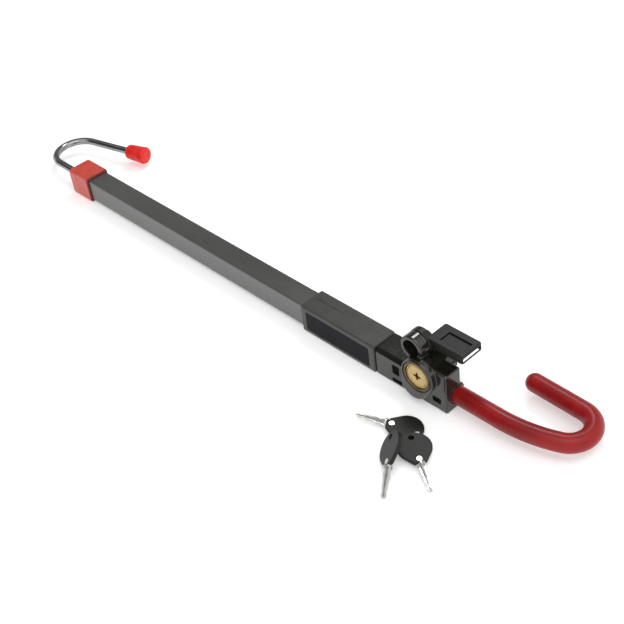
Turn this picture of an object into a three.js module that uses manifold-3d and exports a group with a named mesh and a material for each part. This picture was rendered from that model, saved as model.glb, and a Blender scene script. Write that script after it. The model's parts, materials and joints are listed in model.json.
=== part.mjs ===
// An extendable steering wheel lock. A square tube carries a chrome hook for the brake pedal at one end and a
// lock head at the other. A steel rod slides out of the head and ends in a coated hook for the wheel rim.
//
// Millimetres. +X runs along the tube towards the wheel hook, +Z is up, and both hooks open towards +Y.
// The origin is on the sleeve's flat underside, at its mid length, below the tube's centre line.
// Every piece is drawn about the tube's centre line and then raised by AXIS_HEIGHT.

import * as THREE from "three";
import { mergeVertices } from "three/addons/utils/BufferGeometryUtils.js";
import Module from "manifold-3d";

const wasm = await Module();
wasm.setup();

// ---------------------------------------------------------------- driving dimensions

const GAP = 0.3; // between neighbouring pieces
const ROUND_SIDES = 32;

const sleeve = { length: 77, width: 24, height: 25, corner: 2 };
const AXIS_HEIGHT = sleeve.height / 2;

const tube = { size: 20, wall: 1.6, corner: 1.5, start: -342, end: sleeve.length / 2 - 0.9 };
const cap = { width: 23.6, height: sleeve.height, length: 29, endWall: 4, start: -349.5 };

const pedalHook = { radius: 3.3, shankStart: -306, bendX: -384.8, bendRadius: 21.3, turn: 166, returnLength: 56.5 };
const pedalTip = { mouthRadius: 6.9, endRadius: 8.1, length: 22, rounding: 2.6, socketDepth: 12 };
const anchor = { start: -338, end: -310, pinX: -332, pinRadius: 1.5 };

// The rod first sweeps gently outwards and then bends tightly round the rim.
const wheelHook = {
  rodRadius: 5.5,
  coatRadius: 7,
  bendX: 144.9,
  sweep: { radius: 115, turn: 22.4, steps: 4 },
  bend: { radius: 17, turn: 155.7, steps: 16 },
  returnLength: 41.8,
};
const STROKE = 200;
const guideBlock = { length: 15, start: -208 };
const notch = { pitch: 12.5, width: 5, depth: 2.3 };

const head = {
  start: sleeve.length / 2 + GAP,
  waist: 96,
  end: 106.5,
  near: -10.9,
  far: 11.4,
  low: -12.4,
  high: 12,
  corner: 1.2,
  bevel: 3,
};
const tail = { start: 8, half: tube.size / 2 - tube.wall - 0.4 };
const lockAxis = { x: 84, z: 14 };
const boss = { radius: 14.5, front: -16.5, back: -9.5, barrelRadius: 12.6, chin: { x: 80.5, z: 3.5, radius: 11.7 } };
const pivot = { x: 75.5, z: 32, ringRadius: 10, ringBore: 6.8, ringFront: -11, ringBack: -2.6, pinRadius: 2 };
const cavity = { floor: 6.2, radius: 8.6, left: 67.5, low: 2.5, high: 17 };
const bolt = { x: 71.5, width: 6.6, tipWidth: 3.6, tip: 5.9, shoulder: 8.4, slopeLow: 12.9, slopeAngle: 39.8 };
const paddle = { left: 81.5, right: 114, near: -1.4, far: 19.2, low: 31.8, top: 39 };

// ---------------------------------------------------------------- shape helpers

const radians = THREE.MathUtils.degToRad;
const V2 = (x, y) => new THREE.Vector2(x, y);

const AXES = {
  x: new THREE.Matrix4().makeBasis(
    new THREE.Vector3(0, 1, 0),
    new THREE.Vector3(0, 0, 1),
    new THREE.Vector3(1, 0, 0),
  ),
  y: new THREE.Matrix4().makeBasis(
    new THREE.Vector3(1, 0, 0),
    new THREE.Vector3(0, 0, 1),
    new THREE.Vector3(0, 1, 0),
  ),
  z: new THREE.Matrix4(),
};

// Turns a closed geometry into a solid with its faces outwards, whichever way its outline ran.
function solidOf(geometry) {
  const bare = geometry.clone();
  bare.deleteAttribute("normal");
  bare.deleteAttribute("uv");
  const merged = mergeVertices(bare, 1e-4);
  const corners = merged.index.array;
  const triangles = [];
  for (let i = 0; i < corners.length; i += 3) {
    const [a, b, c] = corners.slice(i, i + 3);
    if (a !== b && b !== c && a !== c) triangles.push(a, b, c);
  }
  const build = (indices) =>
    new wasm.Manifold(
      new wasm.Mesh({
        numProp: 3,
        vertProperties: merged.attributes.position.array,
        triVerts: new Uint32Array(indices),
      }),
    );
  const made = build(triangles);
  return made.volume() < 0 ? build(triangles.reverse()) : made;
}

const join = (...solids) => solids.reduce((whole, piece) => whole.add(piece));
const cut = (solid, ...tools) => tools.reduce((rest, tool) => rest.subtract(tool), solid);

function arc(centreX, centreY, radius, from, to, steps) {
  return Array.from({ length: steps + 1 }, (_, i) => {
    const angle = radians(from + ((to - from) * i) / steps);
    return V2(centreX + radius * Math.cos(angle), centreY + radius * Math.sin(angle));
  });
}

function circle(radius, centre = [0, 0], sides = ROUND_SIDES) {
  return arc(centre[0], centre[1], radius, 0, 360 * (1 - 1 / sides), sides - 1);
}

function rectangle(left, right, low, high) {
  return [V2(left, low), V2(right, low), V2(right, high), V2(left, high)];
}

function roundedRectangle(width, height, radius, centre = [0, 0], steps = 2) {
  const x = width / 2 - radius;
  const y = height / 2 - radius;
  const corner = (signX, signY, from) =>
    arc(centre[0] + signX * x, centre[1] + signY * y, radius, from, from + 90, steps);
  return [...corner(1, 1, 0), ...corner(-1, 1, 90), ...corner(-1, -1, 180), ...corner(1, -1, 270)];
}

// A straight prism along an axis. The outline is in (Y, Z) for x, (X, Z) for y and (X, Y) for z.
function prism(axis, outline, from, to, holes = []) {
  const shape = new THREE.Shape(outline);
  shape.holes = holes.map((hole) => new THREE.Path(hole));
  const geometry = new THREE.ExtrudeGeometry(shape, { depth: to - from, bevelEnabled: false });
  return solidOf(geometry.translate(0, 0, from).applyMatrix4(AXES[axis]));
}

// The same with both ends chamfered, inside the stated length and outline.
function chamferedPrism(axis, outline, from, to, chamfer) {
  const geometry = new THREE.ExtrudeGeometry(new THREE.Shape(outline), {
    depth: to - from - 2 * chamfer,
    bevelThickness: chamfer,
    bevelSize: chamfer,
    bevelOffset: -chamfer,
    bevelSegments: 1,
  });
  return solidOf(geometry.translate(0, 0, from + chamfer).applyMatrix4(AXES[axis]));
}

const bar = (axis, centre, radius, from, to, sides) =>
  prism(axis, circle(radius, centre, sides), from, to);

const block = (x, y, z) => prism("z", rectangle(x[0], x[1], y[0], y[1]), z[0], z[1]);

// A turned piece: the profile is a closed list of [radius, place along the axis].
function turned(axis, profile, centre = [0, 0], sides = ROUND_SIDES) {
  const points = [...profile, profile[0]].map(([radius, along]) => V2(radius, along));
  const geometry = new THREE.LatheGeometry(points, sides);
  geometry.rotateX(Math.PI / 2).translate(centre[0], centre[1], 0);
  return solidOf(geometry.applyMatrix4(AXES[axis]));
}

// A coil spring about a line parallel to Z.
class Helix extends THREE.Curve {
  constructor(radius, low, high, turns) {
    super();
    Object.assign(this, { radius, low, high, turns });
  }
  getPoint(t, target = new THREE.Vector3()) {
    const angle = 2 * Math.PI * this.turns * t;
    const z = THREE.MathUtils.lerp(this.low, this.high, t);
    return target.set(this.radius * Math.cos(angle), this.radius * Math.sin(angle), z);
  }
}

function coil({ radius, wire, low, high, turns, stepsPerTurn = 10 }) {
  const geometry = new THREE.ExtrudeGeometry(new THREE.Shape(circle(wire, [0, 0], 6)), {
    steps: turns * stepsPerTurn,
    extrudePath: new Helix(radius, low, high, turns),
    bevelEnabled: false,
  });
  return geometry;
}

// A hook's centre line in the plane Z = 0: a leg along X, arcs that turn towards +Y, and a return leg.
// Each leg takes one step and the arcs take the others, so the straight parts stay plain.
class HookLine extends THREE.Curve {
  constructor({ legStart, bendX, arcs, returnLength }) {
    super();
    this.way = Math.sign(bendX - legStart);
    this.angles = [0, 0];
    this.points = [new THREE.Vector3(legStart, 0, 0), new THREE.Vector3(bendX, 0, 0)];
    for (const { radius, turn, steps } of arcs) this.addArc(radius, radians(turn), steps);
    const angle = this.angles.at(-1);
    this.points.push(this.points.at(-1).clone().addScaledVector(this.direction(angle), returnLength));
    this.angles.push(angle);
    this.steps = this.points.length - 1;
  }
  direction(angle) {
    return new THREE.Vector3(this.way * Math.cos(angle), Math.sin(angle), 0);
  }
  inward(angle) {
    return new THREE.Vector3(-this.way * Math.sin(angle), Math.cos(angle), 0);
  }
  addArc(radius, turn, steps) {
    const from = this.angles.at(-1);
    const centre = this.points.at(-1).clone().addScaledVector(this.inward(from), radius);
    for (let i = 1; i <= steps; i += 1) {
      const angle = from + (turn * i) / steps;
      this.angles.push(angle);
      this.points.push(centre.clone().addScaledVector(this.inward(angle), -radius));
    }
  }
  // The step that a share of the line falls in, and how far along the step it is.
  stepAt(u) {
    const place = u * this.steps;
    const step = Math.min(Math.floor(place), this.steps - 1);
    return [step, place - step];
  }
  getPointAt(u) {
    const [step, along] = this.stepAt(u);
    return this.points[step].clone().lerp(this.points[step + 1], along);
  }
  getTangentAt(u, target = new THREE.Vector3()) {
    const [step, along] = this.stepAt(u);
    return target.copy(this.direction(THREE.MathUtils.lerp(this.angles[step], this.angles[step + 1], along)));
  }
}

function bentBar(line, radius, sides) {
  const geometry = new THREE.ExtrudeGeometry(new THREE.Shape(circle(radius, [0, 0], sides)), {
    steps: line.steps,
    extrudePath: line,
    bevelEnabled: false,
  });
  return solidOf(geometry);
}

// ---------------------------------------------------------------- materials and the assembly

const finish = (color, roughness, metalness) => ({ color, roughness, metalness });
const FINISHES = {
  blackPaint: finish(0x1b1c1a, 0.35, 0.2),
  castBlack: finish(0x141513, 0.25, 0.3),
  blackPlastic: finish(0x20211f, 0.45, 0),
  labelFilm: finish(0x0d0e10, 0.3, 0),
  redPlastic: finish(0xd8231c, 0.4, 0),
  redVinyl: finish(0x9c1218, 0.35, 0),
  chrome: finish(0xd8dadb, 0.08, 1),
  steel: finish(0x8d9093, 0.4, 1),
  brass: finish(0xcaa35a, 0.3, 1),
  nickel: finish(0xb9b6ac, 0.25, 1),
};

const assembly = new THREE.Group();
assembly.position.z = AXIS_HEIGHT;

function piece(name, solid, finishName, parent = assembly) {
  const made = solid.getMesh();
  const geometry = new THREE.BufferGeometry();
  geometry.setAttribute("position", new THREE.BufferAttribute(made.vertProperties, made.numProp));
  geometry.setIndex(new THREE.BufferAttribute(made.triVerts, 1));
  geometry.computeVertexNormals();
  const mesh = new THREE.Mesh(geometry, new THREE.MeshStandardMaterial(FINISHES[finishName]));
  mesh.name = name;
  parent.add(mesh);
  return mesh;
}

// ---------------------------------------------------------------- tube, cap and pedal hook

const rivetPlaces = [14, 30];
const SLEEVE_SCREW_X = 22;
const rivet = { radius: 2, inner: 6.3, outer: 9.8 };
const sleeveScrew = { radius: 1.7, headRadius: 3.2, head: -12.2, cone: -10.8, tip: -6.4, socket: 1.3 };

function mainTube() {
  const inside = tube.size - 2 * tube.wall;
  const shell = prism(
    "x",
    roundedRectangle(tube.size, tube.size, tube.corner),
    tube.start,
    tube.end,
    [roundedRectangle(inside, inside, 0.6, [0, 0], 1)],
  );
  const holes = rivetPlaces.map((x) => bar("z", [x, 0], rivet.radius + GAP, -11, 11, 16));
  const screwHole = bar("z", [SLEEVE_SCREW_X, 0], sleeveScrew.radius + GAP, -11, 0, 16);
  const pinHole = bar("z", [anchor.pinX, 0], anchor.pinRadius + GAP, -11, 11, 16);
  return cut(shell, ...holes, screwHole, pinHole);
}

function pedalEndCap() {
  const end = cap.start + cap.length;
  const mouth = tube.size + 2 * GAP;
  const outside = chamferedPrism("x", roundedRectangle(cap.width, cap.height, 2.6), cap.start, end, 1.2);
  const pocket = prism("x", roundedRectangle(mouth, mouth, 1.7), cap.start + cap.endWall, end + 1);
  const shankHole = bar("x", [0, 0], pedalHook.radius + GAP, cap.start - 1, cap.start + cap.endWall + 1, 20);
  return cut(outside, pocket, shankHole);
}

const pedalLine = new HookLine({
  legStart: pedalHook.shankStart,
  bendX: pedalHook.bendX,
  bendRadius: pedalHook.bendRadius,
  arcs: [{ radius: pedalHook.bendRadius, turn: pedalHook.turn, steps: 18 }],
  returnLength: pedalHook.returnLength,
});

function pedalHookRod() {
  const pinHole = bar("z", [anchor.pinX, 0], anchor.pinRadius + GAP, -6, 6, 12);
  return cut(bentBar(pedalLine, pedalHook.radius, 16), pinHole);
}

// The tip widens from its mouth to its end. It is turned about Y and then laid on the end of the return leg.
function pedalHookTip() {
  const { mouthRadius, endRadius, length, rounding, socketDepth } = pedalTip;
  const inside = pedalHook.radius + GAP;
  const round = (radius, along, from, to) => arc(radius - rounding, along, rounding, from, to, 3);
  const profile = [
    V2(0, length),
    ...round(endRadius, length - rounding, 90, 0),
    ...round(mouthRadius, rounding, 0, -90),
    V2(inside, 0),
    V2(inside, socketDepth),
    V2(0, socketDepth),
  ];
  const geometry = new THREE.LatheGeometry(profile, 24);
  const direction = pedalLine.getTangentAt(1);
  const mouth = pedalLine.getPointAt(1).addScaledVector(direction, GAP - socketDepth);
  geometry.applyQuaternion(new THREE.Quaternion().setFromUnitVectors(new THREE.Vector3(0, 1, 0), direction));
  return solidOf(geometry.translate(mouth.x, mouth.y, mouth.z));
}

function shankAnchor() {
  const width = tube.size - 2 * tube.wall - 2 * GAP;
  const shankHole = circle(pedalHook.radius + GAP, [0, 0], 20);
  const outline = roundedRectangle(width, width, 1);
  const body = prism("x", outline, anchor.start, anchor.end, [shankHole]);
  return cut(body, bar("z", [anchor.pinX, 0], anchor.pinRadius + GAP, -9, 9, 12));
}

// ---------------------------------------------------------------- sleeve over the joint of tube and head

const panel = { length: 66, height: 17.5, recess: 0.9, thickness: 0.5 };

function gripSleeve() {
  const half = sleeve.length / 2;
  const inside = tube.size + 2 * GAP;
  const outline = roundedRectangle(sleeve.width, sleeve.height, sleeve.corner);
  const outside = chamferedPrism("x", outline, -half, half, 0.9);
  const passage = prism("x", roundedRectangle(inside, inside, 1.7), -half - 1, half + 1);
  const recesses = [-1, 1].map((side) => {
    const face = (side * sleeve.width) / 2;
    const ends = [face - side * panel.recess, face + side].sort((a, b) => a - b);
    return prism("y", roundedRectangle(panel.length, panel.height, 1), ends[0], ends[1]);
  });
  const groove = roundedRectangle(28, 1.8, 0.7, [-19.5, 1.4], 1);
  const topGroove = prism("z", groove, sleeve.height / 2 - 0.4, sleeve.height / 2 + 1);
  const screwHole = turned(
    "z",
    [
      [0, -14],
      [sleeveScrew.headRadius + GAP, -14],
      [sleeveScrew.headRadius + GAP, sleeveScrew.cone + 0.1],
      [0, sleeveScrew.cone + 0.1],
    ],
    [SLEEVE_SCREW_X, 0],
    20,
  );
  const shankHole = bar("z", [SLEEVE_SCREW_X, 0], sleeveScrew.radius + GAP, -12, -9, 16);
  return cut(outside, passage, ...recesses, topGroove, screwHole, shankHole);
}

function sidePanel(side) {
  const back = side * (sleeve.width / 2 - panel.recess + GAP);
  const ends = [back, back + side * panel.thickness].sort((a, b) => a - b);
  const outline = roundedRectangle(panel.length - 2 * GAP, panel.height - 2 * GAP, 0.8);
  return prism("y", outline, ends[0], ends[1]);
}

function sleeveScrewSolid() {
  const { radius, headRadius, head: headFace, cone, tip, socket } = sleeveScrew;
  const body = turned(
    "z",
    [
      [0, headFace],
      [headRadius, headFace],
      [headRadius, cone - 0.3],
      [radius, cone - 0.3],
      [radius, tip],
      [0, tip],
    ],
    [SLEEVE_SCREW_X, 0],
    20,
  );
  return cut(body, prism("z", circle(socket, [SLEEVE_SCREW_X, 0], 6), headFace - 1, headFace + 0.9));
}

// ---------------------------------------------------------------- lock head

const channelHalf = bolt.width / 2 + GAP;
const cover = { back: head.far + GAP, thickness: 1.8, left: 62, right: 94.6, low: -1, inset: 0.4 };
const coverScrew = { radius: 1.1, headRadius: 2.2, headThickness: 1.5, depth: 3.2 };
const coverScrewPlaces = [
  [64.7, 2],
  [91.6, 2],
  [89.3, 23.2],
  [69.3, 19],
];
const pedestalX = [66, 80];
const endBlock = { left: 92, far: 4.5, top: 22.3, collarRadius: 8.9 };

// The three shallow slots in the near face: [left, right, low, high].
const faceSlots = [
  [55.5, 62, -2.5, 5.8],
  [54.9, 64.3, -10.1, -6.9],
  [93.6, 101.2, -5.6, -1],
];
const faceSlotDepth = 1.6;

// The core's section: three small rounded corners, and a broad bevel along the upper near edge.
function coreOutline() {
  const { near, far, low, high, corner, bevel } = head;
  return [
    ...arc(far - corner, high - corner, corner, 0, 90, 2),
    V2(near + bevel, high),
    V2(near, high - bevel),
    ...arc(near + corner, low + corner, corner, 180, 270, 2),
    ...arc(far - corner, low + corner, corner, 270, 360, 2),
  ];
}

// A disc of the boss with its front edge chamfered.
function bossDisc(x, z, radius) {
  const profile = [
    [0, boss.front],
    [radius - 1.2, boss.front],
    [radius, boss.front + 1.2],
    [radius, boss.back - 1],
    [0, boss.back - 1],
  ];
  return turned("y", profile, [x, z], 40);
}

function headShell() {
  const core = chamferedPrism("x", coreOutline(), head.start, head.waist, 0.7);
  const tailBlock = prism("x", roundedRectangle(2 * tail.half, 2 * tail.half, 0.8), tail.start, head.start + 3);
  const { chin } = boss;
  const bossSolid = wasm.Manifold.hull([
    bossDisc(lockAxis.x, lockAxis.z, boss.radius),
    bossDisc(chin.x, chin.z, chin.radius),
  ]);
  const barrel = bar("y", [lockAxis.x, lockAxis.z], boss.barrelRadius, boss.back - 2, head.far, 40);
  const ring = turned(
    "y",
    [
      [0, pivot.ringFront],
      [pivot.ringRadius - 0.8, pivot.ringFront],
      [pivot.ringRadius, pivot.ringFront + 0.8],
      [pivot.ringRadius, pivot.ringBack],
      [0, pivot.ringBack],
    ],
    [pivot.x, pivot.z],
  );
  const pedestalTop = pivot.z - pivot.ringRadius - GAP;
  const pedestal = block(pedestalX, [pivot.ringBack - 0.1, head.far], [head.high - 1, pedestalTop]);
  const ear = join(block([70.5, 80.5], [3.5, 7.5], [20, pivot.z]), bar("y", [pivot.x, pivot.z], 5, 3.5, 7.5, 20));
  const endWidth = endBlock.far - head.near;
  const endHeight = endBlock.top - head.low;
  const endMiddle = [(endBlock.far + head.near) / 2, (endBlock.top + head.low) / 2];
  const raised = chamferedPrism("x", roundedRectangle(endWidth, endHeight, 1.5, endMiddle), endBlock.left, head.end, 0.7);
  const collar = bar("x", [0, 0], endBlock.collarRadius, head.waist - 2, head.end - 0.6);
  return join(core, tailBlock, bossSolid, barrel, ring, pedestal, ear, raised, collar);
}

function lockBody() {
  const passage = bar("x", [0, 0], wheelHook.rodRadius + 0.4, tail.start - 1, head.end + 1, 24);
  const bushSeat = bar("x", [0, 0], exitBush.outer + GAP, exitBush.start - GAP, head.end + 1, 24);
  const guardSeat = bar("y", [lockAxis.x, lockAxis.z], guard.outer + GAP, boss.front - 1, guard.back + GAP, 40);
  const lockBore = bar("y", [lockAxis.x, lockAxis.z], housing.bodyRadius + GAP, guard.back - 1, head.far + 1, 32);
  const ringBore = bar("y", [pivot.x, pivot.z], pivot.ringBore, pivot.ringFront - 1, pivot.ringBack + 0.05, 32);
  const pinBore = bar("y", [pivot.x, pivot.z], pivot.pinRadius + GAP, 3, 8, 16);
  const channel = block([bolt.x - channelHalf, bolt.x + channelHalf], [-channelHalf, channelHalf], [4, 25]);
  const toeRoom = block([bolt.x, 76.6], [-channelHalf, channelHalf], [17.5, 25]);
  const lugRoom = block([bolt.x - channelHalf, bolt.x + channelHalf], [0, cavity.floor + 1], [8.5, 16.6]);
  const catchRoom = prism("y", rectangle(cavity.left, 80, cavity.low, cavity.high), cavity.floor, head.far + 5);
  const hubRoom = bar("y", [pivot.x, pivot.z], pivot.ringRadius + GAP, pivot.ringBack, lever.hubBack + GAP, 36);
  const driveRoom = bar("y", [lockAxis.x, lockAxis.z], cavity.radius, cavity.floor, head.far + 5, 32);
  const slots = faceSlots.map(([left, right, low, high]) =>
    prism("y", rectangle(left, right, low, high), head.near - 1, head.near + faceSlotDepth),
  );
  const screwHoles = coverScrewPlaces.map((place) =>
    bar("y", place, coverScrew.radius + GAP, head.far - coverScrew.depth - GAP, head.far + 5, 12),
  );
  const rivetHoles = rivetPlaces.map((x) => bar("z", [x, 0], rivet.radius + GAP, -9, 9, 16));
  const screwHole = bar("z", [SLEEVE_SCREW_X, 0], sleeveScrew.radius + GAP, -9, 0, 16);
  return cut(
    headShell(),
    passage,
    bushSeat,
    guardSeat,
    lockBore,
    ringBore,
    pinBore,
    channel,
    toeRoom,
    lugRoom,
    catchRoom,
    driveRoom,
    hubRoom,
    ...slots,
    ...screwHoles,
    ...rivetHoles,
    screwHole,
  );
}

// The cover follows the head's far side: the core's flat, the round barrel and the pedestal.
function mechanismCover() {
  const flatTop = head.high - cover.inset;
  const radius = boss.barrelRadius - cover.inset;
  const flatAngle = THREE.MathUtils.radToDeg(Math.asin((flatTop - lockAxis.z) / radius));
  const pedestalTop = pivot.z - pivot.ringRadius - GAP - cover.inset;
  const pedestalAngle = THREE.MathUtils.radToDeg(Math.asin((pedestalTop - lockAxis.z) / radius));
  const outline = [
    V2(cover.left, cover.low),
    V2(cover.right, cover.low),
    V2(cover.right, flatTop),
    ...arc(lockAxis.x, lockAxis.z, radius, flatAngle, 180 - pedestalAngle, 16),
    V2(pedestalX[0] + cover.inset, pedestalTop),
    V2(pedestalX[0] + cover.inset, flatTop),
    V2(cover.left, flatTop),
  ];
  const plate = chamferedPrism("y", outline, cover.back, cover.back + cover.thickness, 0.4);
  const holes = coverScrewPlaces.map((place) =>
    bar("y", place, coverScrew.radius + GAP, cover.back - 1, cover.back + 4, 12),
  );
  return cut(plate, ...holes);
}

function coverScrewAt(place) {
  const { radius, headRadius, headThickness, depth } = coverScrew;
  const seat = cover.back + cover.thickness + GAP;
  const top = seat + headThickness;
  const body = turned(
    "y",
    [
      [0, head.far - depth],
      [radius, head.far - depth],
      [radius, seat],
      [headRadius, seat],
      [headRadius, top - 0.6],
      [headRadius - 0.7, top],
      [0, top],
    ],
    place,
    16,
  );
  const recess = (width, height) => prism("y", roundedRectangle(width, height, 0.1, place, 1), top - 0.8, top + 1);
  return cut(body, recess(2.6, 0.6), recess(0.6, 2.6));
}

const exitBush = { start: 98.5, inner: 5.8, outer: 7.6 };

function exitBushSolid() {
  return prism("x", circle(exitBush.outer, [0, 0], 24), exitBush.start, head.end - 0.2, [
    circle(exitBush.inner, [0, 0], 24),
  ]);
}

// ---------------------------------------------------------------- lock cylinder and what it drives

const guard = { inner: 10.3, outer: 12.3, front: boss.front + 0.3, back: -11.9 };
const housing = { face: -15.3, flangeRadius: 10, flangeBack: -12.1, bodyRadius: 7.4, end: 5.6, rim: 8.9, bore: 5.3 };
const plug = { faceRadius: 8.6, faceBack: -13.3, radius: 5, end: 6.5 };
const drive = { offset: 1.6, pinRadius: 0.9, angle: 135, end: 10.4 };
const keyway = { reach: 3.7, width: 1.9, depth: 15 };

function guardRing() {
  const profile = [
    [guard.inner, guard.front + 0.4],
    [guard.inner + 0.4, guard.front],
    [guard.outer - 0.5, guard.front],
    [guard.outer, guard.front + 0.5],
    [guard.outer, guard.back],
    [guard.inner, guard.back],
  ];
  return turned("y", profile, [lockAxis.x, lockAxis.z], 40);
}

function cylinderHousing() {
  const profile = [
    [housing.rim, housing.face],
    [housing.flangeRadius - 0.3, housing.face],
    [housing.flangeRadius, housing.face + 0.3],
    [housing.flangeRadius, housing.flangeBack],
    [housing.bodyRadius, housing.flangeBack],
    [housing.bodyRadius, housing.end],
    [housing.bore, housing.end],
    [housing.bore, plug.faceBack + GAP],
    [housing.rim, plug.faceBack + GAP],
  ];
  return turned("y", profile, [lockAxis.x, lockAxis.z], 36);
}

// A cross of two slots with pointed ends, the shape that the key's blade fits.
function crossOutline(reach, width) {
  const half = width / 2;
  const points = [];
  for (let arm = 0; arm < 4; arm += 1) {
    const turn = (x, y) => V2(x, y).rotateAround(V2(0, 0), (arm * Math.PI) / 2);
    points.push(turn(reach - half, -half), turn(reach, 0), turn(reach - half, half), turn(half, half));
  }
  return points.map((p) => V2(p.x + lockAxis.x, p.y + lockAxis.z));
}

function keyPlug() {
  const profile = [
    [0, housing.face],
    [plug.faceRadius - 0.3, housing.face],
    [plug.faceRadius, housing.face + 0.3],
    [plug.faceRadius, plug.faceBack],
    [plug.radius, plug.faceBack],
    [plug.radius, plug.end],
    [0, plug.end],
  ];
  const body = turned("y", profile, [lockAxis.x, lockAxis.z], 36);
  const hole = prism("y", crossOutline(keyway.reach, keyway.width), housing.face - 1, housing.face + keyway.depth);
  return cut(body, hole);
}

const drivePlace = () => [
  lockAxis.x + drive.offset * Math.cos(radians(drive.angle)),
  lockAxis.z + drive.offset * Math.sin(radians(drive.angle)),
];

// A disc on the plug's inner end, with the off-centre pin that works the catch.
function plugDrive() {
  const disc = bar("y", [lockAxis.x, lockAxis.z], 3.4, plug.end + GAP, plug.end + 1.2, 20);
  return join(disc, bar("y", drivePlace(), drive.pinRadius, plug.end + 1, drive.end, 12));
}

// The catch slides along X, and its nose holds the bolt down by the lug.
function catchPlate() {
  const [slotX] = drivePlace();
  const near = plug.end + 1.6;
  const frame = prism("y", roundedRectangle(7, 8.4, 0.6, [slotX, 15], 1), near, drive.end - 0.2);
  const nose = prism("y", rectangle(75.4, slotX - 2, 13.7, 16.6), near, drive.end - 0.2);
  const slot = prism("y", roundedRectangle(2.4, 5.4, 0.5, [slotX, 15], 1), near - 1, drive.end + 1);
  return cut(join(frame, nose), slot);
}

// ---------------------------------------------------------------- locking bolt, paddle and springs

function lockingBolt() {
  const left = bolt.x - bolt.width / 2;
  const right = bolt.x + bolt.width / 2;
  const rise = bolt.width * Math.tan(radians(bolt.slopeAngle));
  const outline = [
    V2(bolt.x - bolt.tipWidth / 2, bolt.tip),
    V2(bolt.x + bolt.tipWidth / 2, bolt.tip),
    V2(bolt.x + bolt.tipWidth / 2, bolt.shoulder - 1),
    V2(right, bolt.shoulder),
    V2(right, bolt.slopeLow),
    V2(left, bolt.slopeLow + rise),
    V2(left, bolt.shoulder),
    V2(bolt.x - bolt.tipWidth / 2, bolt.shoulder - 1),
  ];
  const body = prism("y", outline, -bolt.width / 2, bolt.width / 2);
  return join(body, block([left, right], [bolt.width / 2 - 1, 9.4], [12.6, 15.6]));
}

const boltSpring = { y: 8.05, radius: 1.25, wire: 0.28, low: 3.1, high: 12, turns: 6 };

function boltSpringSolid() {
  const geometry = coil(boltSpring);
  return solidOf(geometry.translate(bolt.x, boltSpring.y, 0));
}

const lever = { stubFront: -4.5, stubRadius: 6.5, hubFront: -2.3, hubBack: 3.2, springSeat: 0.4, springSeatRadius: 4.6 };
const toe = { x: 73.48, z: 15.93, radius: 1.2, top: 1.8, far: 1.9 };
const thumbPocket = { left: 90, right: 110.4, near: 3.4, far: 13.2, depth: 1.5 };
const endWindow = { left: 108.4, wall: 1.2, rail: 1.3, top: 36.4 };

// The arm hangs from the hub, and its round toe drives the bolt's slope.
function toeArm() {
  const down = V2(toe.x - pivot.x, toe.z - pivot.z);
  const heading = THREE.MathUtils.radToDeg(down.angle());
  const tipArc = arc(toe.x, toe.z, toe.radius, heading - 90, heading + 90, 5);
  const topArc = arc(pivot.x, pivot.z, toe.top, heading + 90, heading + 270, 2);
  return prism("y", [...tipArc, ...topArc], lever.hubFront, toe.far);
}

function pressLever() {
  const middle = [(paddle.left + paddle.right) / 2, (paddle.near + paddle.far) / 2];
  const outline = roundedRectangle(paddle.right - paddle.left, paddle.far - paddle.near, 1.4, middle);
  const plate = chamferedPrism("z", outline, paddle.low, paddle.top, 0.6);
  const pocket = block(
    [thumbPocket.left, thumbPocket.right],
    [thumbPocket.near, thumbPocket.far],
    [paddle.top - thumbPocket.depth, paddle.top + 1],
  );
  const hub = bar("y", [pivot.x, pivot.z], pivot.ringRadius, lever.hubFront, lever.hubBack);
  const stub = bar("y", [pivot.x, pivot.z], lever.stubRadius, lever.stubFront, lever.hubFront + 1);
  const bridge = block([pivot.x + 3, paddle.left + 2], [paddle.near + 0.6, lever.hubBack], [paddle.low + 0.6, paddle.top - 0.6]);
  // The free end is an open frame: two side walls and a thin lower rail.
  const windowSides = [paddle.near + endWindow.wall, paddle.far - endWindow.wall];
  const hollow = block([endWindow.left, paddle.right - endWindow.wall], windowSides, [paddle.low - 1, endWindow.top]);
  const window = block([endWindow.left, paddle.right + 1], windowSides, [paddle.low + endWindow.rail, endWindow.top]);
  const pinBore = bar("y", [pivot.x, pivot.z], pivot.pinRadius + GAP, lever.stubFront + 2, 8, 16);
  const springSeat = bar("y", [pivot.x, pivot.z], lever.springSeatRadius, lever.springSeat, 8, 20);
  return cut(join(plate, hub, stub, bridge, toeArm()), pocket, hollow, window, pinBore, springSeat);
}

function leverPin() {
  return bar("y", [pivot.x, pivot.z], pivot.pinRadius, lever.stubFront + 2.4, 7.9, 16);
}

function leverSpring() {
  const geometry = coil({ radius: 3.4, wire: 0.5, low: 1.2, high: 2.6, turns: 1.25, stepsPerTurn: 12 });
  geometry.applyMatrix4(AXES.y).translate(pivot.x, 0, pivot.z);
  return solidOf(geometry);
}

// ---------------------------------------------------------------- wheel hook, its coating and guide block

const wheelHookLine = (legStart, returnLength) =>
  new HookLine({ legStart, bendX: wheelHook.bendX, arcs: [wheelHook.sweep, wheelHook.bend], returnLength });

const rodLine = wheelHookLine(guideBlock.start, wheelHook.returnLength - 2);
const coatLine = wheelHookLine(head.end + 0.6, wheelHook.returnLength);
const boreLine = wheelHookLine(head.end - 1, wheelHook.returnLength - 2 + GAP);

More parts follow.
